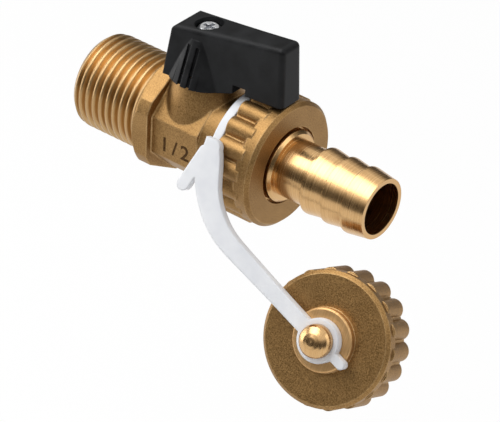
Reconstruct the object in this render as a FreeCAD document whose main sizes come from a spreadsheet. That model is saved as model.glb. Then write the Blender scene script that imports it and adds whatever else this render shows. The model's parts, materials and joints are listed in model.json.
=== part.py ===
"""Drain cock: a half inch ball valve with a lever, a union nut with a hose tail, and a cap on a strap.

Row frame: X runs along the flow, from the inlet thread to the hose tail, and Z points up along the stem.
The origin is on the valve's axis, where the inlet thread meets the six-sided collar.
"""
import FreeCAD, Part
import Sketcher
import math
import os
import re

Vector = FreeCAD.Vector
Rotation = FreeCAD.Rotation
Placement = FreeCAD.Placement

# Driving dimensions in millimetres and degrees. Each one is a cell of the sheet.
SIZES = {
    # inlet thread and six-sided collar
    "inlet_length": 18.0,
    "thread_diameter": 20.955,
    "outlet_thread_diameter": 20.4,
    "thread_pitch": 1.814,
    "thread_depth": 1.16,
    "thread_crest": 0.5,
    "thread_lead_in": 1.4,
    "inlet_turns": 9,
    "outlet_turns": 3,
    "inlet_bore": 11.2,
    "collar_flats": 23.4,
    "collar_corner_diameter": 25.4,
    "collar_length": 4.1,
    "collar_chamfer": 1.0,
    # forged block, neck and outlet
    "block_flats": 20.2,
    "block_length": 12.0,
    "shoulder_length": 0.6,
    "neck_relief": 0.4,
    "outlet_length": 5.9,
    "boss_diameter": 13.0,
    "boss_rise": 5.3,
    "boss_flare": 3.0,
    "boss_flare_foot": 4.6,
    # ball, seats and retainer
    "stem_x": 10.25,
    "ball_diameter": 14.4,
    "ball_bore": 9.2,
    "ball_slot_depth": 1.9,
    "ball_clearance": 0.05,
    "chamber_gap": 0.9,
    "seat_depth": 3.0,
    "retainer_step": 1.1,
    "retainer_length": 4.2,
    # stem, washer and seals
    "tang_width": 2.4,
    "tang_length": 5.0,
    "tang_clearance": 0.08,
    "stem_flange_diameter": 7.8,
    "stem_flange_height": 1.2,
    "flange_gap": 0.3,
    "washer_height": 0.6,
    "stem_diameter": 5.4,
    "stem_clearance": 0.05,
    "seal_section": 1.0,
    "seal_spacing": 2.0,
    "seal_offset": 1.7,
    "seal_groove_gap": 0.1,
    "square_side": 4.0,
    "square_gap": 0.4,
    "square_height": 4.9,
    # lever
    "lever_clearance": 0.3,
    "hub_bottom_diameter": 16.4,
    "hub_top_diameter": 9.0,
    "hub_lap": 1.6,
    "hub_flute_width": 0.8,
    "hub_flute_pitch": 2.2,
    "hub_flute_depth": 0.7,
    "grip_back": 6.0,
    "grip_reach": 21.4,
    "grip_back_width": 7.2,
    "grip_base_back_width": 13.1,
    "grip_front_width": 6.0,
    "grip_base_front_width": 6.6,
    "grip_lean": 0.6,
    "screw_recess_depth": 2.5,
    "grip_rise": 4.3,
    "grip_gap": 0.5,
    "grip_edge": 1.2,
    "grip_slope_start": 6.6,
    "grip_slope_end": 11.4,
    "grip_notch_width": 3.0,
    "grip_notch_height": 1.5,
    "screw_head_diameter": 5.2,
    "screw_head_height": 2.2,
    "screw_dome_height": 0.7,
    "screw_dome_diameter": 3.8,
    "screw_slot_length": 2.9,
    "screw_slot_width": 0.75,
    "screw_slot_depth": 1.1,
    "screw_diameter": 2.5,
    "screw_length": 6.5,
    "screw_clearance": 0.2,
    "screw_recess_diameter": 6.2,
    "lever_web": 1.4,
    "lock_washer_height": 0.5,
    # union nut and its ribs, shared with the cap
    "strap_side_gap": 0.4,
    "nut_wall": 2.48,
    "flange_rise": 1.0,
    "flange_length": 3.4,
    "nut_chamfer": 0.8,
    "rib_count": 18,
    "rib_radius": 2.2,
    "rib_rise": 1.3,
    "rib_run_out": 1.0,
    "nut_lip": 1.3,
    "nut_hole_gap": 1.2,
    "thread_clearance": 0.12,
    # hose tail and gasket
    "gasket_height": 1.0,
    "tail_flange": 1.0,
    "tail_flange_gap": 0.8,
    "tail_shoulder_diameter": 15.8,
    "tail_shoulder_length": 2.4,
    "tail_wall": 0.7,
    "tail_bore": 11.2,
    "tail_reach": 8.5,
    "barb_pitch": 5.1,
    "barb_diameter": 14.6,
    "barb_rise": 0.7,
    "barb_land": 0.5,
    "barb_count": 3,
    # strap with its neck ring, band and eye
    "strap_ring_gap": 1.4,
    "strap_ring_wall": 1.9,
    "strap_ring_width": 2.0,
    "ring_seat": 5.2,
    "strap_gap": 0.95,
    "strap_thickness": 1.8,
    "strap_root_width": 3.4,
    "strap_width": 6.0,
    "strap_tip_width": 3.3,
    "strap_root_shift": 2.0,
    "strap_bend": 18.8,
    "strap_turn": 67.7,
    "strap_run": 26.0,
    "strap_swing": 27.0,
    "strap_yaw": 7.0,
    "strap_tab_length": 8.3,
    "strap_tab_width": 2.7,
    "strap_tab_angle": 16.0,
    "eye_wall": 2.0,
    "eye_clearance": 0.1,
    "eye_nub_length": 2.2,
    "eye_nub_width": 1.9,
    # cap with its boss and knob
    "cap_skirt": 9.2,
    "cap_wall": 2.9,
    "cap_rim_rise": 0.88,
    "cap_rim_length": 2.8,
    "cap_edge": 0.75,
    "cap_bore_depth": 8.0,
    "boss_ring_diameter": 13.2,
    "boss_ring_height": 1.7,
    "knob_neck_diameter": 5.2,
    "knob_diameter": 7.0,
    "knob_rim": 0.9,
    "knob_dome": 2.3,
    # small reliefs, steps and allowances
    "retainer_bore_gap": 0.6,
    "thread_root": 0.2,
    "tail_chamfer": 0.6,
    "boss_ring_chamfer": 0.3,
    "gasket_margin": 0.4,
    "socket_clearance": 0.05,
    "washer_margin": 0.3,
    "screw_tip_gap": 0.4,
    "cut_allowance": 1.0,
}

# Counts that a change of size leaves alone: the forging's sides, the hub's flutes, and steps along curves.
COLLAR_SIDES = 6
BLOCK_SIDES = 8
FLUTES = 4
BAND_STEPS = 10
DOME_STEPS = 6
# How closely a point has to lie on a face to count as on it.
TOLERANCE = 0.01

# Sizes that follow from the driving ones, so that pieces that fit together change together.
DERIVED = {
    "seat_diameter": "ball_diameter + chamber_gap",
    "retainer_diameter": "seat_diameter + retainer_step",
    "stem_flange_bottom": "ball_diameter / 2 + flange_gap",
    "washer_top": "stem_flange_bottom + stem_flange_height + washer_height",
    "seal_height": "washer_top + seal_offset",
    "boss_top": "washer_top + boss_rise",
    "square_bottom": "boss_top + square_gap",
    "stem_top": "square_bottom + square_height",
    "hub_bottom": "boss_top - hub_lap",
    "screw_seat": "stem_top + lever_web",
    "grip_top": "screw_seat + screw_recess_depth",
    "grip_high": "grip_top + grip_rise",
    "neck_diameter": "outlet_thread_diameter - neck_relief",
    "block_end": "collar_length + block_length",
    "strap_ring_x": "block_end + shoulder_length + ring_seat",
    "nut_back": "strap_ring_x + strap_ring_width / 2 + strap_side_gap",
    "outlet_end": "nut_back + outlet_length",
    "nut_front": "outlet_end + gasket_height + tail_flange + nut_lip",
    "nut_bore": "outlet_thread_diameter + 2 * thread_clearance",
    "nut_core_diameter": "nut_bore + 2 * nut_wall",
    "flange_diameter": "nut_core_diameter + 2 * flange_rise",
    "rib_tip": "nut_core_diameter / 2 + rib_rise",
    "grip_bottom": "rib_tip + grip_gap",
    "nut_hole": "tail_shoulder_diameter + nut_hole_gap",
    "tail_flange_diameter": "outlet_thread_diameter - tail_flange_gap",
    "tail_neck_diameter": "tail_bore + 2 * tail_wall",
    "barb_start": "nut_front + tail_reach",
    "barb_root_diameter": "barb_diameter - 2 * barb_rise",
    "tail_end": "barb_start + barb_count * barb_pitch",
    "strap_ring_bore": "outlet_thread_diameter + strap_ring_gap",
    "strap_offset": "rib_tip + strap_gap + strap_thickness / 2",
    "eye_diameter": "knob_neck_diameter + 2 * eye_wall",
    "inlet_crest": "thread_diameter / 2",
    "inlet_root": "inlet_crest - thread_depth",
    "outlet_crest": "outlet_thread_diameter / 2",
    "outlet_root": "outlet_crest - thread_depth",
    "cap_core_diameter": "nut_bore + 2 * cap_wall",
    "cap_rim_diameter": "cap_core_diameter + 2 * cap_rim_rise",
}

doc = FreeCAD.newDocument("drain_cock")
sheet = doc.addObject("Spreadsheet::Sheet", "sizes")
for row, (alias, value) in enumerate(SIZES.items(), start=1):
    sheet.set(f"A{row}", alias)
    sheet.set(f"B{row}", str(value))
    sheet.setAlias(f"B{row}", alias)
doc.recompute()


def reference(word):
    """A word of an expression: a cell of the sheet, a derived size in brackets, or a plain function."""
    if word in SIZES:
        return f"sizes.{word}"
    if word in DERIVED:
        return f"({bound(DERIVED[word])})"
    return word


def bound(expression):
    """The expression with each name written as references to the sheet's cells."""
    return re.sub(r"[a-z_]+", lambda match: reference(match[0]), expression)


def value_of(expression):
    """The number that an expression of named sizes stands for."""
    return float(sheet.evalExpression(bound(expression)))


def size(name):
    """The number of one driving or derived size."""
    return value_of(name)


def plane(body, role):
    """An origin plane of a body, by its role."""
    return next(item for item in body.Origin.OriginFeatures if item.Role == role)


def new_body(label):
    """An empty body whose label names its file."""
    body = doc.addObject("PartDesign::Body", label)
    body.Label = label
    return body


def sketch_on(body, name, role, lift=None):
    """A sketch on one of the body's origin planes, lifted along the plane's normal by an expression."""
    sketch = body.newObject("Sketcher::SketchObject", name)
    sketch.AttachmentSupport = [(plane(body, role), "")]
    sketch.MapMode = "FlatFace"
    if lift is not None:
        sketch.setExpression("AttachmentOffset.Base.z", bound(lift))
    return sketch


def pin_point(sketch, geometry, end, across, up):
    """Hold one end of a sketch line at two expressions, measured from the sketch's origin."""
    for kind, axis, expression in (("DistanceX", -2, across), ("DistanceY", -1, up)):
        number = value_of(expression)
        if abs(number) < 1e-9:
            sketch.addConstraint(Sketcher.Constraint("PointOnObject", geometry, end, axis))
            continue
        if number > 0:
            index = sketch.addConstraint(Sketcher.Constraint(kind, -1, 1, geometry, end, number))
            sketch.setExpression(f"Constraints[{index}]", bound(expression))
        else:
            index = sketch.addConstraint(Sketcher.Constraint(kind, geometry, end, -1, 1, -number))
            sketch.setExpression(f"Constraints[{index}]", bound(f"-1 * ( {expression} )"))


def outline(sketch, points):
    """A closed outline of straight lines through points given as pairs of expressions."""
    corners = [Vector(value_of(across), value_of(up), 0) for across, up in points]
    count = len(corners)
    for index in range(count):
        sketch.addGeometry(Part.LineSegment(corners[index], corners[(index + 1) % count]), False)
    for index in range(count):
        sketch.addConstraint(Sketcher.Constraint("Coincident", index, 2, (index + 1) % count, 1))
    for index, (across, up) in enumerate(points):
        pin_point(sketch, index, 1, across, up)


def turned(body, name, points, kind="PartDesign::Revolution", axis="H_Axis"):
    """A solid, or a groove, turned about an axis of the XZ plane from an outline of expressions."""
    sketch = sketch_on(body, name + "_outline", "XZ_Plane")
    outline(sketch, points)
    feature = body.newObject(kind, name)
    feature.Profile = sketch
    feature.ReferenceAxis = (sketch, [axis])
    feature.Angle = 360
    doc.recompute()
    return feature


def extruded(body, name, role, points, length, kind="PartDesign::Pad", lift=None, both=False):
    """A pad or pocket of an outline on an origin plane."""
    sketch = sketch_on(body, name + "_outline", role, lift)
    outline(sketch, points)
    before = body.Shape.Volume if body.Tip else 0.0
    feature = body.newObject(kind, name)
    feature.Profile = sketch
    feature.Midplane = both
    feature.setExpression("Length", bound(length))
    doc.recompute()
    if kind == "PartDesign::Pocket" and abs(body.Shape.Volume - before) < 1e-6:
        feature.Reversed = True
        doc.recompute()
    return feature


def primitive(body, kind, name, role, place, **dimensions):
    """A primitive of the body, attached to an origin plane and shifted by three expressions."""
    feature = body.newObject(kind, name)
    feature.AttachmentSupport = [(plane(body, role), "")]
    feature.MapMode = "FlatFace"
    for letter, expression in zip("xyz", place):
        feature.setExpression(f"AttachmentOffset.Base.{letter}", bound(expression))
    for key, expression in dimensions.items():
        feature.setExpression(key, bound(expression))
    doc.recompute()
    return feature


def pattern(body, name, original, count, axis="X_Axis"):
    """A full circle of copies of a feature about an axis of the body."""
    feature = body.newObject("PartDesign::PolarPattern", name)
    feature.Originals = [original]
    feature.Axis = (plane(body, axis), [""])
    feature.Angle = 360
    feature.setExpression("Occurrences", bound(count))
    body.Tip = feature
    doc.recompute()
    return feature


def prism(body, name, sides, flats, start, length):
    """A block about X with a number of sides and flats facing -Y and +Y."""
    half_side = 180 / sides
    feature = primitive(body, "PartDesign::AdditivePrism", name, "YZ_Plane", ("0", "0", start),
                        Circumradius=f"{flats} / 2 / cos({half_side} deg)", Height=length)
    feature.Polygon = sides
    feature.AttachmentOffset = Placement(feature.AttachmentOffset.Base, Rotation(Vector(0, 0, 1), half_side))
    doc.recompute()
    return feature


def thread_grooves(body, name, first, count, end, backwards=False):
    """Ring grooves at the thread's pitch, cut into the crests of the inlet or the outlet end."""
    crest = f"{end}_crest"
    root = f"{end}_root"
    flank = "( thread_pitch - thread_crest ) / 2"
    outside = f"{crest} + cut_allowance"
    groove = turned(body, name, [
        (f"{first} - {flank}", outside),
        (f"{first} - {flank}", crest),
        (f"{first} - thread_root / 2", root),
        (f"{first} + thread_root / 2", root),
        (f"{first} + {flank}", crest),
        (f"{first} + {flank}", outside),
    ], "PartDesign::Groove")
    row_of = body.newObject("PartDesign::LinearPattern", name + "_row")
    row_of.Originals = [groove]
    row_of.Direction = (plane(body, "X_Axis"), [""])
    row_of.setExpression("Length", bound(f"thread_pitch * ( {count} - 1 )"))
    row_of.setExpression("Occurrences", bound(count))
    row_of.Reversed = backwards
    body.Tip = row_of
    doc.recompute()


def make_valve_body():
    """The forged body: inlet thread, collar, faceted block, neck, outlet thread and stem boss."""
    body = new_body("valve_body")
    turned(body, "core", [
        ("-1 * inlet_length", "inlet_bore / 2"),
        ("-1 * inlet_length", "inlet_root"),
        ("-1 * inlet_length + thread_lead_in", "inlet_crest"),
        ("0", "inlet_crest"),
        ("0", "neck_diameter / 2"),
        ("nut_back", "neck_diameter / 2"),
        ("nut_back + neck_relief / 2", "outlet_crest"),
        ("outlet_end - thread_lead_in / 2", "outlet_crest"),
        ("outlet_end", "outlet_root"),
        ("outlet_end", "inlet_bore / 2"),
    ])
    prism(body, "collar", COLLAR_SIDES, "collar_flats", "0", "collar_length")
    # the collar's corners are turned round, and bevelled towards the thread
    turned(body, "collar_corners", [
        ("0", "collar_flats / 2"), ("collar_chamfer", "collar_corner_diameter / 2"),
        ("collar_length", "collar_corner_diameter / 2"), ("collar_length", "collar_flats"),
        ("0", "collar_flats"),
    ], "PartDesign::Groove")
    prism(body, "block", BLOCK_SIDES, "block_flats", "collar_length", "block_length")
    primitive(body, "PartDesign::AdditiveCylinder", "boss", "XY_Plane", ("stem_x", "0", "0"),
              Radius="boss_diameter / 2", Height="boss_top")
    primitive(body, "PartDesign::AdditiveCone", "boss_flare", "XY_Plane", ("stem_x", "0", "boss_flare_foot"),
              Radius1="boss_diameter / 2 + boss_flare", Radius2="boss_diameter / 2",
              Height="hub_bottom - lever_clearance - boss_flare_foot")
    thread_grooves(body, "inlet_thread", "-1 * thread_pitch", "inlet_turns", "inlet", backwards=True)
    thread_grooves(body, "outlet_thread", "nut_back + thread_pitch", "outlet_turns", "outlet")
    # the ball's chamber, bored from the outlet, and the wider bore for the retainer
    seat_back = "stem_x - ball_diameter / 2"
    retainer_back = "stem_x + ball_diameter / 2"
    turned(body, "chamber", [
        ("-1 * inlet_length - cut_allowance", "0"),
        ("-1 * inlet_length - cut_allowance", "inlet_bore / 2"),
        (seat_back, "inlet_bore / 2"),
        (seat_back, "seat_diameter / 2"),
        (retainer_back, "seat_diameter / 2"),
        (retainer_back, "retainer_diameter / 2"),
        ("outlet_end + cut_allowance", "retainer_diameter / 2"),
        ("outlet_end + cut_allowance", "0"),
    ], "PartDesign::Groove")
    # the stem's bore, stepped for the flange under the boss
    primitive(body, "PartDesign::SubtractiveCylinder", "flange_bore", "XY_Plane", ("stem_x", "0", "0"),
              Radius="stem_flange_diameter / 2 + stem_clearance", Height="washer_top")
    primitive(body, "PartDesign::SubtractiveCylinder", "stem_bore", "XY_Plane", ("stem_x", "0", "0"),
              Radius="stem_diameter / 2 + stem_clearance", Height="boss_top + cut_allowance")
    return body


def make_seat(label, side):
    """A sealing ring whose inner edge is a hollow that fits the ball."""
    tube_outer = doc.addObject("Part::Cylinder", label + "_outer")
    tube_inner = doc.addObject("Part::Cylinder", label + "_inner")
    hollow = doc.addObject("Part::Sphere", label + "_hollow")
    start = "-1 * ball_diameter / 2" if side < 0 else "ball_diameter / 2 - seat_depth"
    for tube, radius in ((tube_outer, "seat_diameter / 2"), (tube_inner, "ball_bore / 2")):
        tube.Placement = Placement(Vector(), Rotation(Vector(0, 1, 0), 90))
        tube.setExpression("Radius", bound(radius))
        tube.setExpression("Height", bound("seat_depth"))
        tube.setExpression("Placement.Base.x", bound("stem_x + " + start))
    hollow.setExpression("Radius", bound("ball_diameter / 2 + ball_clearance"))
    hollow.setExpression("Placement.Base.x", bound("stem_x"))
    ring = doc.addObject("Part::Cut", label + "_ring")
    ring.Base = tube_outer
    ring.Tool = tube_inner
    seat = doc.addObject("Part::Cut", label)
    seat.Base = ring
    seat.Tool = hollow
    seat.Label = label
    return seat


def make_retainer():
    """The screwed ring that holds the outlet seat against the ball."""
    body = new_body("seat_retainer")
    back = "stem_x + ball_diameter / 2"
    turned(body, "ring", [
        (back, "ball_bore / 2 + retainer_bore_gap"),
        (back, "retainer_diameter / 2"),
        (f"{back} + retainer_length", "retainer_diameter / 2"),
        (f"{back} + retainer_length", "ball_bore / 2 + retainer_bore_gap"),
    ])
    return body


def make_ball():
    """The bored ball, with a slot across its top for the stem's tang."""
    body = new_body("ball")
    primitive(body, "PartDesign::AdditiveSphere", "sphere", "XY_Plane", ("0", "0", "0"),
              Radius="ball_diameter / 2")
    primitive(body, "PartDesign::SubtractiveCylinder", "through_bore", "YZ_Plane",
              ("0", "0", "-1 * ball_diameter"), Radius="ball_bore / 2", Height="2 * ball_diameter")
    slot = "tang_width + 2 * tang_clearance"
    primitive(body, "PartDesign::SubtractiveBox", "tang_slot", "XY_Plane",
              (f"-1 * ( {slot} ) / 2", "-1 * ball_diameter", "ball_diameter / 2 - ball_slot_depth"),
              Length=slot, Width="2 * ball_diameter", Height="ball_diameter")
    body.setExpression("Placement.Base.x", bound("stem_x"))
    return body


def make_stem():
    """The stem: tang, flange, sealed shaft and the square that carries the lever."""
    body = new_body("stem")
    flange_top = "stem_flange_bottom + stem_flange_height"
    shaft = "stem_diameter / 2"
    groove = f"{shaft} - seal_section + seal_groove_gap"
    half = "( seal_section / 2 + seal_groove_gap )"
    points = [("0", "stem_flange_bottom"), ("stem_flange_diameter / 2", "stem_flange_bottom"),
              ("stem_flange_diameter / 2", flange_top), (shaft, flange_top)]
    for number in range(2):
        middle = f"seal_height + {number} * seal_spacing"
        points += [(shaft, f"{middle} - {half}"), (groove, f"{middle} - {half}"),
                   (groove, f"{middle} + {half}"), (shaft, f"{middle} + {half}")]
    points += [(shaft, "square_bottom"), ("0", "square_bottom")]
    turned(body, "shaft", points, axis="V_Axis")
    primitive(body, "PartDesign::AdditiveBox", "square", "XY_Plane",
              ("-1 * square_side / 2", "-1 * square_side / 2", "square_bottom - square_gap"),
              Length="square_side", Width="square_side", Height="square_height + square_gap")
    tang_bottom = "ball_diameter / 2 - ball_slot_depth + tang_clearance"
    primitive(body, "PartDesign::AdditiveBox", "tang", "XY_Plane",
              ("-1 * tang_width / 2", "-1 * tang_length / 2", tang_bottom),
              Length="tang_width", Width="tang_length",
              Height=f"stem_flange_bottom + flange_gap - ( {tang_bottom} )")
    primitive(body, "PartDesign::SubtractiveCylinder", "screw_hole", "XY_Plane",
              ("0", "0", "screw_seat - screw_length"), Radius="screw_diameter / 2", Height="screw_length")
    body.setExpression("Placement.Base.x", bound("stem_x"))
    return body


def make_thrust_washer():
    """The low-friction washer between the stem's flange and the body."""
    body = new_body("stem_washer")
    bottom = "stem_flange_bottom + stem_flange_height"
    turned(body, "ring", [
        ("stem_diameter / 2", bottom), ("stem_flange_diameter / 2", bottom),
        ("stem_flange_diameter / 2", f"{bottom} + washer_height"),
        ("stem_diameter / 2", f"{bottom} + washer_height")], axis="V_Axis")
    body.setExpression("Placement.Base.x", bound("stem_x"))
    return body


def make_seal(label, number):
    """A rubber ring in one of the stem's grooves."""
    ring = doc.addObject("Part::Torus", label)
    ring.Label = label
    ring.setExpression("Radius1", bound("( stem_diameter - seal_section ) / 2 + seal_groove_gap / 2"))
    ring.setExpression("Radius2", bound("seal_section / 2 - seal_groove_gap / 2"))
    ring.setExpression("Placement.Base.x", bound("stem_x"))
    ring.setExpression("Placement.Base.z", bound(f"seal_height + {number} * seal_spacing"))
    return ring


def is_grip_edge(edge):
    """Whether an edge bounds the grip's sloped top face or its upright end."""
    rise = size("grip_rise") / (size("grip_reach") + size("grip_back"))
    ends = [vertex.Point for vertex in edge.Vertexes]
    on_top = all(abs(p.z - size("grip_top") - rise * (p.x + size("grip_back"))) < TOLERANCE for p in ends)
    on_end = all(p.x > size("grip_reach") - TOLERANCE for p in ends)
    return on_top or (on_end and abs(ends[0].z - ends[-1].z) > size("grip_edge"))


def round_edges(body, name, wanted, radius):
    """A fillet along the edges of the body's last feature that pass a test."""
    last = body.Tip
    edges = [f"Edge{number}" for number, edge in enumerate(last.Shape.Edges, start=1) if wanted(edge)]
    feature = body.newObject("PartDesign::Fillet", name)
    feature.Base = (last, edges)
    feature.setExpression("Radius", bound(radius))
    doc.recompute()


def cut_flute(body, name, place, side):
    """A flat-bottomed flute along the hub's cone, on the flank at -Y or +Y, counted from the middle."""
    drop = size("hub_bottom_diameter") / 2 - size("hub_top_diameter") / 2
    lean = math.atan2(drop, size("grip_top") - size("hub_bottom") - size("grip_edge"))
    floor = size("hub_bottom_diameter") / 2 - size("hub_flute_depth")
    depth = 3 * size("hub_flute_depth")
    along = place * size("hub_flute_pitch") - size("hub_flute_width") / 2
    start = Vector(along, side * floor, size("hub_bottom"))
    rotation = Rotation(Vector(1, 0, 0), side * math.degrees(lean))
    shift = Vector(0, 0 if side > 0 else -depth, -depth)
    flute = primitive(body, "PartDesign::SubtractiveBox", name, "XY_Plane", ("0", "0", "0"),
                      Length="hub_flute_width", Width="3 * hub_flute_depth", Height="grip_top - hub_bottom")
    for letter in "xyz":
        flute.setExpression(f"AttachmentOffset.Base.{letter}", None)
    flute.AttachmentOffset = Placement(start + rotation.multVec(shift), rotation)
    doc.recompute()


def grip_section(body, name, lift, lean, back_width, front_width):
    """A tapered outline of the grip at one height, longer at both ends by the lean."""
    sketch = sketch_on(body, name, "XY_Plane", lift)
    back = f"-1 * grip_back - {lean}"
    front = f"grip_reach + {lean}"
    outline(sketch, [(back, f"-1 * {back_width} / 2"), (front, f"-1 * {front_width} / 2"),
                     (front, f"{front_width} / 2"), (back, f"{back_width} / 2")])
    return sketch


def make_lever():
    """The moulded lever: a fluted cone over the boss, and a tapered grip that rises towards its end."""
    body = new_body("lever")
    primitive(body, "PartDesign::AdditiveCone", "hub", "XY_Plane", ("0", "0", "hub_bottom"),
              Radius1="hub_bottom_diameter / 2", Radius2="hub_top_diameter / 2",
              Height="grip_top - hub_bottom - grip_edge")
    # shallow flutes up both flanks of the hub, each one leaning with the cone
    for number in range(FLUTES):
        for side, flank in ((-1, "front"), (1, "back")):
            cut_flute(body, f"flute_{number}_{flank}", number - (FLUTES - 1) / 2, side)
    grip_base = grip_section(body, "grip_base", "hub_bottom", "grip_lean", "grip_base_back_width",
                             "grip_base_front_width")
    grip_crown = grip_section(body, "grip_crown", "grip_high", "0", "grip_back_width", "grip_front_width")
    grip = body.newObject("PartDesign::AdditiveLoft", "grip")
    grip.Profile = grip_base
    grip.Sections = [grip_crown]
    grip.Ruled = True
    doc.recompute()
    # the top face slopes, so what stands above it is cut away
    extruded(body, "top_slope", "XZ_Plane", [
        ("-2 * grip_back", "grip_top - grip_rise * grip_back / ( grip_reach + grip_back )"),
        ("grip_reach", "grip_high"), ("grip_reach + cut_allowance", "grip_high + grip_rise"),
        ("-2 * grip_back", "grip_high + grip_rise")],
        "4 * hub_bottom_diameter", "PartDesign::Pocket", both=True)
    # the underside climbs from the hub to clear the union nut
    extruded(body, "underside", "XZ_Plane", [
        ("grip_slope_start", "hub_bottom - cut_allowance"), ("grip_slope_start", "hub_bottom"),
        ("grip_slope_end", "grip_bottom"), ("grip_reach + 2 * grip_lean", "grip_bottom"),
        ("grip_reach + 2 * grip_lean", "hub_bottom - cut_allowance")],
        "4 * hub_bottom_diameter", "PartDesign::Pocket", both=True)
    round_edges(body, "grip_rounding", is_grip_edge, "grip_edge")
    # the hollow over the boss, the square socket and the stepped hole for the screw
    primitive(body, "PartDesign::SubtractiveCylinder", "boss_hollow", "XY_Plane",
              ("0", "0", "hub_bottom - cut_allowance"), Radius="boss_diameter / 2 + lever_clearance",
              Height="square_bottom + lever_clearance - hub_bottom + cut_allowance")
    socket = "square_side + 2 * socket_clearance"
    primitive(body, "PartDesign::SubtractiveBox", "socket", "XY_Plane",
              (f"-1 * ( {socket} ) / 2", f"-1 * ( {socket} ) / 2", "hub_bottom"),
              Length=socket, Width=socket, Height="stem_top + socket_clearance - hub_bottom")
    primitive(body, "PartDesign::SubtractiveCylinder", "screw_way", "XY_Plane", ("0", "0", "hub_bottom"),
              Radius="screw_diameter / 2 + screw_clearance", Height="grip_top + grip_rise - hub_bottom")
    primitive(body, "PartDesign::SubtractiveCylinder", "screw_recess", "XY_Plane", ("0", "0", "screw_seat"),
              Radius="screw_recess_diameter / 2", Height="grip_top + grip_rise - screw_seat")
    # the notch over the strap's ring
    ring_middle = "strap_ring_x - stem_x"
    extruded(body, "notch", "XZ_Plane", [
        (f"{ring_middle} - grip_notch_width / 2", "grip_bottom - 2 * cut_allowance"),
        (f"{ring_middle} + grip_notch_width / 2", "grip_bottom - 2 * cut_allowance"),
        (f"{ring_middle} + grip_notch_width / 2", "grip_bottom + grip_notch_height"),
        (f"{ring_middle} - grip_notch_width / 2", "grip_bottom + grip_notch_height")],
        "4 * hub_bottom_diameter", "PartDesign::Pocket", both=True)
    body.setExpression("Placement.Base.x", bound("stem_x"))
    return body


def make_lock_washer():
    """The plain steel washer under the screw's head."""
    body = new_body("screw_washer")
    inner = "screw_diameter / 2 + screw_clearance / 2"
    outer = "screw_head_diameter / 2 + washer_margin"
    top = "screw_seat + lock_washer_height"
    turned(body, "ring", [(inner, "screw_seat"), (outer, "screw_seat"), (outer, top), (inner, top)],
           axis="V_Axis")
    body.setExpression("Placement.Base.x", bound("stem_x"))
    return body


def make_screw():
    """The lever's screw, with a cross recess in its rounded head."""
    body = new_body("lever_screw")
    seat = "screw_seat + lock_washer_height"
    tip = "screw_seat - screw_length + screw_tip_gap"
    top = f"{seat} + screw_head_height"
    shank = "screw_diameter / 2"
    head = "screw_head_diameter / 2"
    turned(body, "turned", [
        ("0", tip), (shank, tip), (shank, seat), (head, seat), (head, f"{top} - screw_dome_height"),
        ("screw_dome_diameter / 2", top), ("0", top)], axis="V_Axis")
    for name, long, short in (("slot_x", "Length", "Width"), ("slot_y", "Width", "Length")):
        spans = {long: "screw_slot_length", short: "screw_slot_width"}
        primitive(body, "PartDesign::SubtractiveBox", name, "XY_Plane",
                  (f"-1 * {spans['Length']} / 2", f"-1 * {spans['Width']} / 2", f"{top} - screw_slot_depth"),
                  Height="screw_head_height", **spans)
    body.setExpression("Placement.Base.x", bound("stem_x"))
    return body


def add_ribs(body, start, length, core):
    """A ring of rounded ribs along X on a cylinder of the given diameter."""
    rib = primitive(body, "PartDesign::AdditiveCylinder", "rib", "YZ_Plane",
                    ("0", f"{core} / 2 + rib_rise - rib_radius", start), Radius="rib_radius", Height=length)
    pattern(body, "ribs", rib, "rib_count")


def make_union_nut():
    """The union nut: ribbed behind, a smooth flange in front, and a lip that draws in the hose tail."""
    body = new_body("union_nut")
    flange_back = "nut_front - flange_length"
    turned(body, "shell", [
        ("nut_back", "0"), ("nut_back", "nut_core_diameter / 2"),
        (f"{flange_back} - rib_run_out", "nut_core_diameter / 2"), (flange_back, "flange_diameter / 2"),
        ("nut_front - nut_chamfer", "flange_diameter / 2"),
        ("nut_front", "flange_diameter / 2 - nut_chamfer"), ("nut_front", "0")])
    add_ribs(body, "nut_back", f"{flange_back} - nut_back + nut_chamfer", "nut_core_diameter")
    behind = "nut_back - cut_allowance"
    ahead = "nut_front + cut_allowance"
    lip = "nut_front - nut_lip"
    turned(body, "bore", [
        (behind, "0"), (behind, "nut_bore / 2"), (lip, "nut_bore / 2"), (lip, "nut_hole / 2"),
        (ahead, "nut_hole / 2"), (ahead, "0")], "PartDesign::Groove")
    return body


def make_tail_gasket():
    """The flat ring between the outlet and the hose tail."""
    body = new_body("tail_gasket")
    turned(body, "ring", [
        ("outlet_end", "retainer_diameter / 2"), ("outlet_end", "tail_flange_diameter / 2 - gasket_margin"),
        ("outlet_end + gasket_height", "tail_flange_diameter / 2 - gasket_margin"),
        ("outlet_end + gasket_height", "retainer_diameter / 2")])
    return body


def make_hose_tail():
    """The turned hose tail: a flange behind the nut's lip, a shoulder, a neck and three barbs."""
    body = new_body("hose_tail")
    flange_back = "outlet_end + gasket_height"
    flange_front = f"{flange_back} + tail_flange"
    shoulder = f"{flange_front} + tail_shoulder_length"
    points = [
        (flange_back, "tail_bore / 2"), (flange_back, "tail_flange_diameter / 2"),
        (flange_front, "tail_flange_diameter / 2"), (flange_front, "tail_shoulder_diameter / 2"),
        (f"{shoulder} - tail_chamfer", "tail_shoulder_diameter / 2"),
        (shoulder, "tail_shoulder_diameter / 2 - tail_chamfer"), (shoulder, "tail_neck_diameter / 2"),
        ("barb_start", "tail_neck_diameter / 2")]
    barbs = round(size("barb_count"))
    for number in range(barbs):
        step = f"barb_start + {number} * barb_pitch"
        points += [(step, "barb_diameter / 2"), (f"{step} + barb_land", "barb_diameter / 2")]
        if number < barbs - 1:
            points.append((f"{step} + barb_pitch", "barb_root_diameter / 2"))
    points += [("tail_end", "barb_root_diameter / 2"), ("tail_end", "tail_bore / 2")]
    turned(body, "turned", points)
    return body


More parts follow.
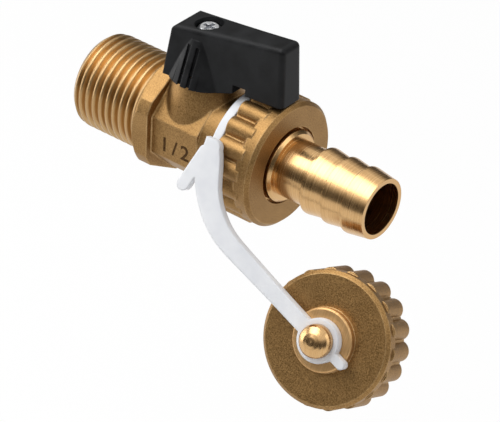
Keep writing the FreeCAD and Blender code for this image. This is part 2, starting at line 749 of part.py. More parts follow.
def make_cap():
    """The forged cap: ribbed skirt, smooth rim, turned boss ring and mushroom knob, along its own X."""
    body = new_body("cap")
    face = "cap_skirt"
    ring_top = f"{face} + boss_ring_height"
    eye = "strap_thickness + 2 * eye_clearance"
    knob = f"{ring_top} + {eye}"
    core = "cap_core_diameter / 2"
    rim = "cap_rim_diameter / 2"
    points = [
        ("0", "0"), ("0", core), (f"{face} - cap_rim_length - rib_run_out", core),
        (f"{face} - cap_rim_length", rim),
        (f"{face} - cap_edge", rim), (face, f"{rim} - cap_edge"), (face, "boss_ring_diameter / 2"),
        (f"{ring_top} - boss_ring_chamfer", "boss_ring_diameter / 2"),
        (ring_top, "boss_ring_diameter / 2 - boss_ring_chamfer"),
        (ring_top, "knob_neck_diameter / 2"), (knob, "knob_neck_diameter / 2"), (knob, "knob_diameter / 2")]
    for step in range(DOME_STEPS + 1):
        angle = 90 * step / DOME_STEPS
        points.append((f"{knob} + knob_rim + knob_dome * sin({angle} deg)",
                       f"knob_diameter / 2 * cos({angle} deg)" if step < DOME_STEPS else "0"))
    turned(body, "shell", points)
    add_ribs(body, "0", f"{face} - cap_rim_length + cap_edge", "cap_core_diameter")
    turned(body, "bore", [
        ("-1 * cut_allowance", "0"), ("-1 * cut_allowance", "nut_bore / 2"),
        ("cap_bore_depth", "nut_bore / 2"), ("cap_bore_depth", "0")], "PartDesign::Groove")
    return body


def make_cap_gasket():
    """The rubber disc in the bottom of the cap."""
    body = new_body("cap_gasket")
    edge = "outlet_crest - gasket_margin"
    turned(body, "disc", [
        ("cap_bore_depth - gasket_height", "0"), ("cap_bore_depth - gasket_height", edge),
        ("cap_bore_depth", edge), ("cap_bore_depth", "0")])
    return body


def strap_frame():
    """The strap plate's frame: across the band's top, up the band, and out of its face."""
    swing = math.radians(size("strap_swing"))
    yaw = math.radians(size("strap_yaw"))
    up = Vector(0, math.sin(swing), math.cos(swing))
    face = Vector(0, -math.cos(swing), math.sin(swing))
    across = Vector(1, 0, 0) * math.cos(yaw) - face * math.sin(yaw)
    out = face * math.cos(yaw) + Vector(1, 0, 0) * math.sin(yaw)
    root = Vector(size("strap_ring_x"), 0, 0) + face * size("strap_offset")
    return root, across, up, out


def plate_point(across_distance, up_distance, out_distance=0.0):
    """A point of the row from its distances in the strap plate's frame."""
    root, across, up, out = strap_frame()
    return root + across * across_distance + up * up_distance + out * out_distance


def band_place(share):
    """The band's place at a share of its length, in the plate's frame: across, up, turn and half width."""
    turn = math.radians(size("strap_turn"))
    bend = size("strap_bend")
    reach = share * (bend * turn + size("strap_run"))
    angle = min(reach / bend, turn)
    straight = reach - bend * angle
    across = size("strap_root_shift") + bend * (1 - math.cos(angle)) + straight * math.sin(angle)
    up = -bend * math.sin(angle) - straight * math.cos(angle)
    if share == 0:
        return across, up, angle, size("strap_root_width") / 2
    tip = size("strap_tip_width")
    width = tip + (size("strap_width") - tip) * (1 - share) ** 2
    return across, up, angle, width / 2


def band_side(share, side):
    """A point on the band's left (-1) or right (1) edge, on the back of the plate."""
    across, up, angle, half = band_place(share)
    return plate_point(across + side * half * math.cos(angle), up + side * half * math.sin(angle),
                       -size("strap_thickness") / 2)


def plate_disc(across, up, radius):
    """A round boss of the strap plate."""
    out = strap_frame()[3]
    thickness = size("strap_thickness")
    return Part.makeCylinder(radius, thickness, plate_point(across, up, -thickness / 2), out)


def plate_strip(start, end, width):
    """A straight strip of the strap plate between two points."""
    thickness = size("strap_thickness")
    direction = Vector(end[0] - start[0], end[1] - start[1], 0).normalize()
    side = Vector(-direction.y, direction.x, 0) * (width / 2)
    corners = [(start[0] + side.x, start[1] + side.y), (start[0] - side.x, start[1] - side.y),
               (end[0] - side.x, end[1] - side.y), (end[0] + side.x, end[1] + side.y)]
    points = [plate_point(across, up, -thickness / 2) for across, up in corners]
    face = Part.Face(Part.makePolygon(points + points[:1]))
    return face.extrude(strap_frame()[3] * thickness)


def plate_band():
    """The curved band, narrowing from the neck ring to the eye."""
    shares = [step / BAND_STEPS for step in range(BAND_STEPS + 1)]
    edges = []
    for side in (-1, 1):
        line = Part.BSplineCurve()
        line.interpolate([band_side(share, side) for share in shares])
        edges.append(line.toShape())
    for share in (0, 1):
        edges.append(Part.LineSegment(band_side(share, -1), band_side(share, 1)).toShape())
    wire = Part.Wire(Part.__sortEdges__(edges))
    return Part.Face(wire).extrude(strap_frame()[3] * size("strap_thickness"))


def make_strap():
    """The moulded strap: a ring for the neck, a curved flat band and an eye for the cap's knob."""
    width = size("strap_root_width")
    bore = size("strap_ring_bore") / 2
    wall = size("strap_ring_wall")
    ring_width = size("strap_ring_width")
    out = strap_frame()[3]
    swing = math.radians(size("strap_swing"))
    up = Vector(0, math.sin(swing), math.cos(swing))
    face = Vector(0, -math.cos(swing), math.sin(swing))
    ring_axis = Vector(1, 0, 0)
    ring_start = Vector(size("strap_ring_x") - ring_width / 2, 0, 0)
    ring = Part.makeCylinder(bore + wall, ring_width, ring_start, ring_axis)
    lug = Part.makeBox(ring_width, size("strap_offset") - bore - wall / 2, width)
    lug_start = ring_start + face * (bore + wall / 2) - up * width / 2
    lug.Placement = Placement(lug_start, Rotation(ring_axis, face, up, "XYZ"))
    root_across, root_up = band_place(0)[:2]
    eye_across, eye_up, eye_turn = band_place(1)[:3]
    tab_half = size("strap_tab_width") / 2
    tab_angle = math.radians(size("strap_tab_angle"))
    tab_start = (root_across - tab_half, root_up - tab_half)
    tab_end = (tab_start[0] - size("strap_tab_length") * math.sin(tab_angle),
               tab_start[1] - size("strap_tab_length") * math.cos(tab_angle))
    nub_reach = size("eye_diameter") / 2 + size("eye_nub_length")
    nub_end = (eye_across + math.sin(eye_turn) * nub_reach, eye_up - math.cos(eye_turn) * nub_reach)
    pieces = [lug, plate_strip((0, 0), (root_across, root_up), width),
              plate_disc(root_across, root_up, width / 2), plate_band(),
              plate_disc(eye_across, eye_up, size("eye_diameter") / 2),
              plate_strip(tab_start, tab_end, size("strap_tab_width")), plate_disc(*tab_start, tab_half),
              plate_disc(*tab_end, tab_half),
              plate_strip((eye_across, eye_up), nub_end, size("eye_nub_width")),
              plate_disc(*nub_end, size("eye_nub_width") / 2)]
    solid = ring.multiFuse(pieces).removeSplitter()
    neck_hole = Part.makeCylinder(bore, 4 * ring_width, ring_start - ring_axis * ring_width, ring_axis)
    eye_bore = size("knob_neck_diameter") / 2 + size("eye_clearance")
    eye_hole = Part.makeCylinder(eye_bore, 4 * size("strap_thickness"),
                                 plate_point(eye_across, eye_up, -2 * size("strap_thickness")), out)
    feature = doc.addObject("Part::Feature", "strap")
    feature.Label = "strap"
    feature.Shape = solid.cut(neck_hole).cut(eye_hole)
    feature.Placement = Placement()
    return feature


def place_on_eye(body):
    """Set a body of the cap's own frame so that its knob stands in the strap's eye."""
    out, across, up = (strap_frame()[index] for index in (3, 1, 2))
    eye_across, eye_up = band_place(1)[:2]
    knob_neck = value_of("cap_skirt + boss_ring_height + eye_clearance + strap_thickness / 2")
    body.Placement = Placement(plate_point(eye_across, eye_up, -knob_neck), Rotation(out, across, up, "XYZ"))


cap = make_cap()
cap_gasket = make_cap_gasket()
place_on_eye(cap)
place_on_eye(cap_gasket)
nodes = [
    make_valve_body(), make_seat("inlet_seat", -1), make_seat("outlet_seat", 1), make_retainer(), make_ball(),
    make_stem(), make_thrust_washer(), make_seal("stem_seal_lower", 0), make_seal("stem_seal_upper", 1),
    make_lever(), make_lock_washer(), make_screw(), make_union_nut(), make_tail_gasket(), make_hose_tail(),
    make_strap(), cap, cap_gasket,
]
doc.recompute()
for item in doc.Objects:
    if "Invalid" in item.State or "Error" in item.State:
        raise RuntimeError(f"{item.Label} did not build: {item.State}")
os.makedirs("parts", exist_ok=True)
for node in nodes:
    if node.Shape.isNull() or not node.Shape.isValid():
        raise RuntimeError(f"{node.Label} has no valid shape")
    if len(node.Shape.Solids) != 1:
        raise RuntimeError(f"{node.Label} is {len(node.Shape.Solids)} solids")
for node in nodes:
    node.Shape.exportStep(f"parts/{node.Label}.step")
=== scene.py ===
"""The looks of the drain cock: finishes, a size number on the body, light and the photograph's camera."""
import json
import math

import bpy
from mathutils import Matrix, Vector


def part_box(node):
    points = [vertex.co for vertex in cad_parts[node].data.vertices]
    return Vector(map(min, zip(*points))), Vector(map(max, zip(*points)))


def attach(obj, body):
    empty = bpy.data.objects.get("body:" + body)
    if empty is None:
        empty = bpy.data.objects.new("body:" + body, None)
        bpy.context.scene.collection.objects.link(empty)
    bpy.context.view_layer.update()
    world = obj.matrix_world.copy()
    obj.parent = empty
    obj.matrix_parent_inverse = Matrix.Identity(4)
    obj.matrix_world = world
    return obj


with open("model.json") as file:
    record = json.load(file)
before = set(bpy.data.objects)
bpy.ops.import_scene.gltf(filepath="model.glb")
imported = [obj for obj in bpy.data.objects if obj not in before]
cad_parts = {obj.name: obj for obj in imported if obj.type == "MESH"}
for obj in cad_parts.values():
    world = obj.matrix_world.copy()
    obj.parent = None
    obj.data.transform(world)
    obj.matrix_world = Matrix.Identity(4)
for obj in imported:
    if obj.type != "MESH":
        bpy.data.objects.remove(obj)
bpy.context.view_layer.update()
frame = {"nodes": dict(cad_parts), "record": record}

MM = 0.001

# The photograph's camera: a long lens that looks down on the outlet side, turned a little about its own axis.
IMAGE_WIDTH = 500
IMAGE_HEIGHT = 422
AZIMUTH = math.radians(39.2)
ELEVATION = math.radians(31.9)
ROLL = math.radians(2.0)
DISTANCE = 0.700
PIXELS_PER_MM = 4.769
ORIGIN_PIXEL = (167.7, 107.9)
SENSOR_MM = 36.0
CLIP_START = 0.05
CLIP_END = 20

# Lamps, in metres and watts: where they hang to the right of, above and towards the camera from the point
# that they aim at, then their width, height and power.
LAMP_TARGET = Vector((0.025, 0, -0.005))
LAMPS = {
    "key": ((-0.22, 0.45, 0.25), 0.55, 0.45, 2.7),
    "fill": ((0.55, 0.05, 0.25), 0.35, 0.60, 0.8),
    "rim": ((-0.45, 0.10, -0.15), 0.30, 0.45, 1.2),
}
ROOM_LIGHT = 0.45

# The floor below the held valve, in metres, and how much of it is plain white to the view.
FLOOR_LEVEL = -0.11
FLOOR_HALF = 3.0
FLOOR_COLOUR = (0.86, 0.86, 0.86, 1)
FLOOR_ROUGHNESS = 0.9
FLOOR_WHITENESS = 0.93

# The cards round the valve, in metres: dark at the horizon, and paler from a share of their height up.
CARD_RADIUS = 0.9
CARD_BOTTOM = -0.10
CARD_TOP = 0.62
CARD_STEPS = 48
CARD_PALE_FROM = 0.55
CARD_DARK = (0.085, 0.080, 0.075)
CARD_PALE = (0.550, 0.530, 0.500)

# Sizes of the model that the finishes follow.
BLOCK_FLATS = 20.2 * MM
STRAP_THICKNESS = 1.8 * MM
EYE_CLEARANCE = 0.1 * MM
BOSS_RING_HEIGHT = 1.7 * MM
MASK_MARGIN = 0.05 * MM

# The size number on the block: its height and spacing, what its strokes gain in width, how far it stands
# proud and where it starts.
# The number is a thin sheet whose dark colour is painted shade for strokes stamped into the forging.
MARK_SIZE = 4.8 * MM
MARK_SPACING = 1.35
MARK_STROKE = 0.07 * MM
MARK_PROUD = 0.03 * MM
MARK_START = 6.5 * MM
MARK_FOOT = -2.6 * MM

# Turned brass as a dark and a light colour, then the least and the most roughness.
TURNED = ((0.590, 0.360, 0.155), (0.700, 0.445, 0.210), 0.20, 0.29)
THREAD_CUT = ((0.450, 0.287, 0.130), (0.580, 0.380, 0.182), 0.28, 0.36)
LATHE_SCALE = 900
LATHE_STRETCH = (4, 0.05, 0.05)

# The forging: the colours of its grain, its stains and its edges (partly wear, partly a painted highlight),
# and how they are spread.
FORGED_DARK = (0.150, 0.080, 0.027)
FORGED_LIGHT = (0.480, 0.288, 0.116)
FORGED_DULL = (0.280, 0.160, 0.056)
FORGED_WARM = (0.430, 0.258, 0.098)
FORGED_WORN_HIGHLIGHT = (0.800, 0.570, 0.300)
FORGED_ROUGHNESS = (0.40, 0.58)
GRAIN_SCALE = 3600
GRAIN_SPAN = (0.32, 0.68)
BLOTCH_SCALE = 240
STAIN_SHARE = 0.35
EDGE_WEAR_HIGHLIGHT = 0.5 * MM
EDGE_RUB_HIGHLIGHT = (0.35, 1.0)
EDGE_TURN = (0.86, 0.995)

# The other finishes, told like turned brass, then the lever's shine and how light goes into the strap.
LEVER_BLACK = ((0.006, 0.0062, 0.0068), (0.012, 0.0125, 0.0135), 0.36, 0.50)
STRAP_WHITE = ((0.74, 0.755, 0.79), (0.84, 0.85, 0.87), 0.36, 0.50)
RUBBER_BLACK = ((0.010, 0.010, 0.010), (0.022, 0.022, 0.022), 0.54, 0.66)
SEAT_WHITE = ((0.78, 0.78, 0.76), (0.86, 0.86, 0.84), 0.34, 0.46)
STEEL_GREY = ((0.55, 0.56, 0.58), (0.72, 0.73, 0.75), 0.22, 0.36)
CHROME_GREY = ((0.62, 0.62, 0.64), (0.70, 0.70, 0.72), 0.06, 0.12)
# The size number's dark brown is painted shade for stamped strokes.
STAMPED_SHADE_BROWN = ((0.055, 0.026, 0.009), (0.130, 0.068, 0.025), 0.50, 0.70)
LEVER_SHINE = 0.16
WAX_SHARE = 0.15
WAX_DEPTH = 1.2 * MM

# Scales of the patterns in those finishes.
LEVER_GRAIN = 3500
LEVER_CLOUD = 220
STRAP_GRAIN = 1500
STRAP_CLOUD = 130
SOFT_CLOUD = 900
BRUSHING = 1800
BRUSHING_STRETCH = (1, 5, 1)
STAMPED_GRAIN = 2300

# Bumps as a strength and a depth.
GRAIN_BUMP = (0.5, 0.10 * MM)
TURNED_BUMP = (0.02, 0.01 * MM)
THREAD_BUMP = (0.03, 0.01 * MM)
LEVER_BUMP = (0.18, 0.03 * MM)
STRAP_BUMP = (0.10, 0.03 * MM)
BRUSHED_BUMP = (0.06, 0.02 * MM)
SOFT_BUMP = (0.1, 0.03 * MM)
STAMPED_BUMP = (0.4, 0.06 * MM)

# The radius by which the shading rounds each kind of edge, and how many samples it takes.
BODY_ROUNDING = 0.7 * MM
NUT_ROUNDING = 0.35 * MM
CAP_ROUNDING = 0.3 * MM
TURNED_ROUNDING = 0.15 * MM
LEVER_ROUNDING = 0.4 * MM
STRAP_ROUNDING = 0.6 * MM
BEVEL_SAMPLES = 6

# Noise: how rough it is, and the range that most of its values lie in.
NOISE_ROUGHNESS = 0.55
NOISE_SPAN = (0.3, 0.7)


class Shader:
    """A node material with short helpers for its nodes and links."""

    def __init__(self, name):
        self.material = bpy.data.materials.new(name)
        self.material.use_nodes = True
        self.tree = self.material.node_tree
        self.principled = self.tree.nodes["Principled BSDF"]
        self.output = self.tree.nodes["Material Output"]
        self.coordinates = self.tree.nodes.new("ShaderNodeTexCoord")

    def add(self, kind, **values):
        """A new node with some of its settings."""
        node = self.tree.nodes.new(kind)
        for key, value in values.items():
            setattr(node, key, value)
        return node

    def link(self, source, target):
        """A link from one socket to another."""
        self.tree.links.new(source, target)

    def noise(self, scale, detail=4.0, stretch=(1, 1, 1)):
        """Noise in the object's own frame, in metres, stretched along the axes."""
        mapping = self.add("ShaderNodeMapping")
        mapping.inputs["Scale"].default_value = stretch
        self.link(self.coordinates.outputs["Object"], mapping.inputs["Vector"])
        noise = self.add("ShaderNodeTexNoise")
        noise.inputs["Scale"].default_value = scale
        noise.inputs["Detail"].default_value = detail
        noise.inputs["Roughness"].default_value = NOISE_ROUGHNESS
        self.link(mapping.outputs["Vector"], noise.inputs["Vector"])
        return noise.outputs["Fac"]

    def ramp(self, factor, low, high, start=0.35, end=0.65):
        """A colour ramp between two colours."""
        ramp = self.add("ShaderNodeValToRGB")
        ramp.color_ramp.elements[0].position = start
        ramp.color_ramp.elements[0].color = (*low, 1)
        ramp.color_ramp.elements[1].position = end
        ramp.color_ramp.elements[1].color = (*high, 1)
        self.link(factor, ramp.inputs["Fac"])
        return ramp.outputs["Color"]

    def span(self, value, low, high, start=0.0, end=1.0):
        """A value mapped from the range between start and end to the one between low and high."""
        node = self.add("ShaderNodeMapRange")
        for key, number in (("From Min", start), ("From Max", end), ("To Min", low), ("To Max", high)):
            node.inputs[key].default_value = number
        self.link(value, node.inputs["Value"])
        return node.outputs["Result"]

    def math(self, operation, first, second):
        """A math node on two sockets or numbers."""
        node = self.add("ShaderNodeMath", operation=operation)
        for socket, value in zip(node.inputs, (first, second)):
            if isinstance(value, (int, float)):
                socket.default_value = value
            else:
                self.link(value, socket)
        return node.outputs["Value"]

    def mix(self, factor, first, second):
        """Two colours mixed by a factor, which is a socket or a number."""
        node = self.add("ShaderNodeMix", data_type="RGBA")
        if isinstance(factor, (int, float)):
            node.inputs["Factor"].default_value = factor
        else:
            self.link(factor, node.inputs["Factor"])
        self.link(first, node.inputs["A"])
        self.link(second, node.inputs["B"])
        return node.outputs["Result"]

    def rounded(self, radius):
        """The surface's normal with its edges rounded by a radius."""
        bevel = self.add("ShaderNodeBevel", samples=BEVEL_SAMPLES)
        bevel.inputs["Radius"].default_value = radius
        return bevel.outputs["Normal"]

    def edges(self, radius):
        """A mask that rises where the surface turns over an edge within a radius."""
        flat = self.add("ShaderNodeNewGeometry")
        agree = self.add("ShaderNodeVectorMath", operation="DOT_PRODUCT")
        self.link(self.rounded(radius), agree.inputs[0])
        self.link(flat.outputs["True Normal"], agree.inputs[1])
        return self.span(agree.outputs["Value"], 1.0, 0.0, *EDGE_TURN)

    def paint(self, pattern, finish, spread=(0.0, 1.0)):
        """The colour and the roughness that a finish takes from a pattern of noise."""
        dark, light, least, most = finish
        return self.ramp(pattern, dark, light), self.span(pattern, least, most, *spread)

    def surface(self, colour, rough, metallic=0.0):
        """Feed the shader's colour and roughness, and say whether it is metal."""
        self.link(colour, self.principled.inputs["Base Color"])
        self.link(rough, self.principled.inputs["Roughness"])
        self.principled.inputs["Metallic"].default_value = metallic

    def bump(self, heights, edge=0.0):
        """Bumps, each a height socket with a strength and a depth, over edges rounded by a radius."""
        normal = self.rounded(edge) if edge else None
        for height, strength, depth in heights:
            node = self.add("ShaderNodeBump")
            node.inputs["Strength"].default_value = strength
            node.inputs["Distance"].default_value = depth
            self.link(height, node.inputs["Height"])
            if normal is not None:
                self.link(normal, node.inputs["Normal"])
            normal = node.outputs["Normal"]
        self.link(normal, self.principled.inputs["Normal"])


def along_axis(shader, centre, axis):
    """How far each point of a surface lies along an axis from a centre, in metres."""
    offset = shader.add("ShaderNodeVectorMath", operation="SUBTRACT")
    shader.link(shader.coordinates.outputs["Object"], offset.inputs[0])
    offset.inputs[1].default_value = centre
    dot = shader.add("ShaderNodeVectorMath", operation="DOT_PRODUCT")
    shader.link(offset.outputs["Vector"], dot.inputs[0])
    dot.inputs[1].default_value = axis
    return dot.outputs["Value"]


def forged_finish(shader):
    """The skin of a blasted forging: its colour, roughness and grain, with edges lightened partly as wear and
    partly as a painted highlight.
    """
    grain = shader.noise(GRAIN_SCALE)
    blotch = shader.noise(BLOTCH_SCALE)
    fine = shader.ramp(grain, FORGED_DARK, FORGED_LIGHT, *GRAIN_SPAN)
    stain = shader.ramp(blotch, FORGED_DULL, FORGED_WARM, *NOISE_SPAN)
    skin = shader.mix(STAIN_SHARE, fine, stain)
    # Lighter edges: partly rubbed brass, partly a painted highlight along every edge.
    worn_highlight = shader.ramp(blotch, FORGED_LIGHT, FORGED_WORN_HIGHLIGHT, *NOISE_SPAN)
    rubbed_highlight = shader.math("MULTIPLY", shader.edges(EDGE_WEAR_HIGHLIGHT), shader.span(grain, *EDGE_RUB_HIGHLIGHT, *NOISE_SPAN))
    return shader.mix(rubbed_highlight, skin, worn_highlight), shader.span(grain, *FORGED_ROUGHNESS, *NOISE_SPAN), grain


def turned_finish(shader, finish):
    """Brass fresh from the lathe: its colour, roughness and rings."""
    rings = shader.noise(LATHE_SCALE, detail=3, stretch=LATHE_STRETCH)
    colour, rough = shader.paint(rings, finish, NOISE_SPAN)
    return colour, rough, rings


def forged_brass():
    """Brass with the skin of a blasted forging all over."""
    shader = Shader("forged_brass")
    colour, rough, grain = forged_finish(shader)
    shader.surface(colour, rough, metallic=1.0)
    shader.bump([(grain, *GRAIN_BUMP)], NUT_ROUNDING)
    return shader.material


def turned_brass():
    """Brass turned bright all over."""
    shader = Shader("turned_brass")
    colour, rough, rings = turned_finish(shader, TURNED)
    shader.surface(colour, rough, metallic=1.0)
    shader.bump([(rings, *TURNED_BUMP)], TURNED_ROUNDING)
    return shader.material


def part_turned_brass(name, turned_where, finish, edge):
    """A brass forging that is cut bright where one mask says so, and polished where a second one does."""
    shader = Shader(name)
    skin, skin_rough, grain = forged_finish(shader)
    bright, bright_rough, rings = turned_finish(shader, finish)
    cut, polished = turned_where(shader)
    dull = shader.math("SUBTRACT", 1.0, polished)
    rough = shader.math("ADD", shader.math("MULTIPLY", skin_rough, dull),
                        shader.math("MULTIPLY", bright_rough, polished))
    forged = shader.math("MULTIPLY", grain, shader.math("SUBTRACT", 1.0, cut))
    shader.surface(shader.mix(cut, skin, bright), rough, metallic=1.0)
    shader.bump([(forged, *GRAIN_BUMP), (rings, *THREAD_BUMP)], edge)
    return shader.material


def body_turned(shader):
    """The body's threads are cut bright; the rest of it keeps the forging's skin."""
    along = along_axis(shader, (0, 0, 0), (1, 0, 0))
    inlet = shader.math("LESS_THAN", along, -MASK_MARGIN)
    outlet = shader.math("GREATER_THAN", along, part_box("union_nut")[0][0])
    threads = shader.math("MAXIMUM", inlet, outlet)
    return threads, threads


def cap_turned(shader):
    """The cap's boss ring and knob are cut bright, and past the strap's eye the knob is polished too."""
    joint = next(item for item in frame["record"]["behaviour"]["joints"] if item["name"] == "cap_spin")
    boss_foot = STRAP_THICKNESS / 2 + EYE_CLEARANCE + BOSS_RING_HEIGHT - MASK_MARGIN
    along = along_axis(shader, joint["pos_m"], joint["axis"])
    return shader.math("GREATER_THAN", along, -boss_foot), shader.math("GREATER_THAN", along, 0.0)


def lever_plastic():
    """Black moulded plastic with a satin, faintly grained skin."""
    shader = Shader("lever_plastic")
    grain = shader.noise(LEVER_GRAIN, detail=3)
    cloud = shader.noise(LEVER_CLOUD, detail=3)
    shader.surface(*shader.paint(cloud, LEVER_BLACK, NOISE_SPAN))
    shader.principled.inputs["Specular IOR Level"].default_value = LEVER_SHINE
    shader.bump([(grain, *LEVER_BUMP)], LEVER_ROUNDING)
    return shader.material


def strap_plastic():
    """Soft white plastic, a little waxy, with faint flow marks."""
    shader = Shader("strap_plastic")
    cloud = shader.noise(STRAP_CLOUD, detail=3)
    grain = shader.noise(STRAP_GRAIN, detail=2)
    shader.surface(*shader.paint(cloud, STRAP_WHITE))
    shader.principled.inputs["Subsurface Weight"].default_value = WAX_SHARE
    shader.principled.inputs["Subsurface Radius"].default_value = (WAX_DEPTH, WAX_DEPTH, WAX_DEPTH)
    shader.principled.inputs["Subsurface Scale"].default_value = 1.0
    shader.bump([(grain, *STRAP_BUMP)], STRAP_ROUNDING)
    return shader.material


def plain_metal(name, finish):
    """A plated metal with fine brushing."""
    shader = Shader(name)
    brushing = shader.noise(BRUSHING, detail=3, stretch=BRUSHING_STRETCH)
    shader.surface(*shader.paint(brushing, finish), metallic=1.0)
    shader.bump([(brushing, *BRUSHED_BUMP)], TURNED_ROUNDING)
    return shader.material


def plain_soft(name, finish):
    """A matt seal or seat material."""
    shader = Shader(name)
    cloud = shader.noise(SOFT_CLOUD, detail=3)
    shader.surface(*shader.paint(cloud, finish))
    shader.bump([(cloud, *SOFT_BUMP)])
    return shader.material


def stamped_painted_shade():
    """The dark brass of the size number: painted shade that stands for strokes stamped into the forging."""
    shader = Shader("stamped_painted_shade")
    grain = shader.noise(STAMPED_GRAIN)
    shader.surface(*shader.paint(grain, STAMPED_SHADE_BROWN), metallic=1.0)
    shader.bump([(grain, *STAMPED_BUMP)])
    return shader.material


def dress_nodes():
    """Give each CAD node its finish."""
    turned = turned_brass()
    rubber = plain_soft("seal_rubber", RUBBER_BLACK)
    seat = plain_soft("seat_plastic", SEAT_WHITE)
    steel = plain_metal("screw_steel", STEEL_GREY)
    finishes = {
        "valve_body": part_turned_brass("valve_brass", body_turned, THREAD_CUT, BODY_ROUNDING),
        "union_nut": forged_brass(),
        "cap": part_turned_brass("cap_brass", cap_turned, TURNED, CAP_ROUNDING),
        "hose_tail": turned,
        "seat_retainer": turned,
        "stem": turned,
        "lever": lever_plastic(),
        "strap": strap_plastic(),
        "lever_screw": steel,
        "screw_washer": steel,
        "ball": plain_metal("ball_chrome", CHROME_GREY),
        "inlet_seat": seat,
        "outlet_seat": seat,
        "stem_washer": seat,
        "stem_seal_lower": rubber,
        "stem_seal_upper": rubber,
        "tail_gasket": rubber,
        "cap_gasket": rubber,
    }
    for node, material in finishes.items():
        for slot in frame["nodes"][node].material_slots:
            slot.material = material


def add_size_mark():
    """The nominal size on the flat front of the body, as a thin sheet darkened with painted shade for stamped
    strokes.
    """
    curve = bpy.data.curves.new("size_mark_text", "FONT")
    curve.body = "1/2"
    curve.size = MARK_SIZE
    curve.space_character = MARK_SPACING
    curve.offset = MARK_STROKE
    curve.extrude = MARK_PROUD
    text = bpy.data.objects.new("size_mark_text", curve)
    bpy.context.collection.objects.link(text)
    bpy.context.view_layer.update()
    mesh = bpy.data.meshes.new_from_object(text.evaluated_get(bpy.context.evaluated_depsgraph_get()))
    bpy.data.objects.remove(text)
    bpy.data.curves.remove(curve)
    stand = Matrix.Rotation(math.radians(90), 4, "X")
    mesh.transform(Matrix.Translation((MARK_START, -BLOCK_FLATS / 2, MARK_FOOT)) @ stand)
    mesh.materials.clear()
    mesh.materials.append(stamped_painted_shade())
    mark = bpy.data.objects.new("size_mark", mesh)
    bpy.context.collection.objects.link(mark)
    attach(mark, "valve")


def camera_basis():
    """The camera's right, up and back directions."""
    back = Vector((math.sin(AZIMUTH) * math.cos(ELEVATION), -math.cos(AZIMUTH) * math.cos(ELEVATION),
                   math.sin(ELEVATION)))
    right = Vector((math.cos(AZIMUTH), math.sin(AZIMUTH), 0))
    up = back.cross(right)
    turned_right = right * math.cos(ROLL) + up * math.sin(ROLL)
    return turned_right, back.cross(turned_right), back


def place_camera():
    """Put the camera where the photograph's was, aimed so that the origin falls on its pixel."""
    right, up, back = camera_basis()
    focal_pixels = PIXELS_PER_MM / MM * DISTANCE
    across = (IMAGE_WIDTH / 2 - ORIGIN_PIXEL[0]) / focal_pixels
    down = (IMAGE_HEIGHT / 2 - ORIGIN_PIXEL[1]) / focal_pixels
    forward = (-back + right * across - up * down).normalized()
    level = (right - forward * right.dot(forward)).normalized()
    data = bpy.data.cameras.new("photo_camera")
    data.sensor_width = SENSOR_MM
    data.lens = focal_pixels / IMAGE_WIDTH * SENSOR_MM
    data.clip_start = CLIP_START
    data.clip_end = CLIP_END
    camera = bpy.data.objects.new("photo_camera", data)
    turn = Matrix((level, (-forward).cross(level), -forward)).transposed()
    camera.matrix_world = Matrix.Translation(back * DISTANCE) @ turn.to_4x4()
    bpy.context.collection.objects.link(camera)
    bpy.context.scene.camera = camera


def hang_lamps():
    """Soft rectangular lamps over and beside the object."""
    basis = camera_basis()
    for name, (offsets, width, height, power) in LAMPS.items():
        data = bpy.data.lights.new(name, "AREA")
        data.shape = "RECTANGLE"
        data.size = width
        data.size_y = height
        data.energy = power
        away = sum((axis * offset for axis, offset in zip(basis, offsets)), Vector())
        lamp = bpy.data.objects.new(name, data)
        lamp.location = LAMP_TARGET + away
        lamp.rotation_euler = (-away).to_track_quat("-Z", "Y").to_euler()
        bpy.context.collection.objects.link(lamp)


def white_to_view(tree):
    """A factor that is one for what the camera sees, also in a reflection or through glass."""
    paths = tree.nodes.new("ShaderNodeLightPath")
    factor = paths.outputs["Is Camera Ray"]
    for ray in ("Is Glossy Ray", "Is Transmission Ray"):
        join = tree.nodes.new("ShaderNodeMath")
        join.operation = "MAXIMUM"
        tree.links.new(factor, join.inputs[0])
        tree.links.new(paths.outputs[ray], join.inputs[1])
        factor = join.outputs["Value"]
    return factor


def light_room():
    """A room that is white to the view and gives soft light."""
    world = bpy.data.worlds.new("studio")
    bpy.context.scene.world = world
    world.use_nodes = True
    tree = world.node_tree
    tree.nodes.clear()
    output = tree.nodes.new("ShaderNodeOutputWorld")
    white = tree.nodes.new("ShaderNodeBackground")
    white.inputs["Color"].default_value = (1, 1, 1, 1)
    room = tree.nodes.new("ShaderNodeBackground")
    room.inputs["Color"].default_value = (1, 1, 1, 1)
    room.inputs["Strength"].default_value = ROOM_LIGHT
    blend = tree.nodes.new("ShaderNodeMixShader")
    tree.links.new(white_to_view(tree), blend.inputs["Fac"])
    tree.links.new(room.outputs["Background"], blend.inputs[1])
    tree.links.new(white.outputs["Background"], blend.inputs[2])
    tree.links.new(blend.outputs["Shader"], output.inputs["Surface"])


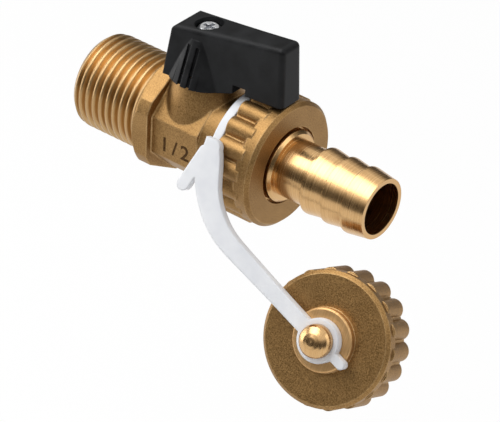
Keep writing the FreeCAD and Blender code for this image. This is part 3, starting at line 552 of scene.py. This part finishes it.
def hang_dark_cards():
    """A ring of cards, dark at the horizon and paler above, which only reflections show."""
    corners = []
    faces = []
    for step in range(CARD_STEPS):
        angle = 2 * math.pi * step / CARD_STEPS
        for height in (CARD_BOTTOM, CARD_TOP):
            corners.append((CARD_RADIUS * math.cos(angle), CARD_RADIUS * math.sin(angle), height))
        after = 2 * ((step + 1) % CARD_STEPS)
        faces.append((2 * step, after, after + 1, 2 * step + 1))
    mesh = bpy.data.meshes.new("dark_cards")
    mesh.from_pydata(corners, [], faces)
    cards = bpy.data.objects.new("dark_cards", mesh)
    bpy.context.collection.objects.link(cards)
    shader = Shader("dark_card")
    share = shader.span(along_axis(shader, (0, 0, 0), (0, 0, 1)), 0.0, 1.0, CARD_BOTTOM, CARD_TOP)
    glow = shader.add("ShaderNodeEmission")
    shader.link(shader.ramp(share, CARD_DARK, CARD_PALE, CARD_PALE_FROM, 1.0), glow.inputs["Color"])
    shader.link(glow.outputs["Emission"], shader.output.inputs["Surface"])
    mesh.materials.append(shader.material)
    cards.visible_camera = False
    cards.visible_diffuse = False
    cards.visible_shadow = False


def lay_floor():
    """A plain pale floor below the held valve, white to the view, with a soft shadow."""
    mesh = bpy.data.meshes.new("floor")
    corners = [(x * FLOOR_HALF, y * FLOOR_HALF, FLOOR_LEVEL) for x, y in ((-1, -1), (1, -1), (1, 1), (-1, 1))]
    mesh.from_pydata(corners, [], [(0, 1, 2, 3)])
    floor = bpy.data.objects.new("floor", mesh)
    bpy.context.collection.objects.link(floor)
    shader = Shader("floor_white")
    shader.principled.inputs["Base Color"].default_value = FLOOR_COLOUR
    shader.principled.inputs["Roughness"].default_value = FLOOR_ROUGHNESS
    glow = shader.add("ShaderNodeEmission")
    blend = shader.add("ShaderNodeMixShader")
    shader.link(shader.math("MULTIPLY", white_to_view(shader.tree), FLOOR_WHITENESS), blend.inputs["Fac"])
    shader.link(shader.principled.outputs["BSDF"], blend.inputs[1])
    shader.link(glow.outputs["Emission"], blend.inputs[2])
    shader.link(blend.outputs["Shader"], shader.output.inputs["Surface"])
    mesh.materials.append(shader.material)


dress_nodes()
add_size_mark()
place_camera()
hang_lamps()
light_room()
hang_dark_cards()
lay_floor()
bpy.context.scene.view_settings.view_transform = "Standard"
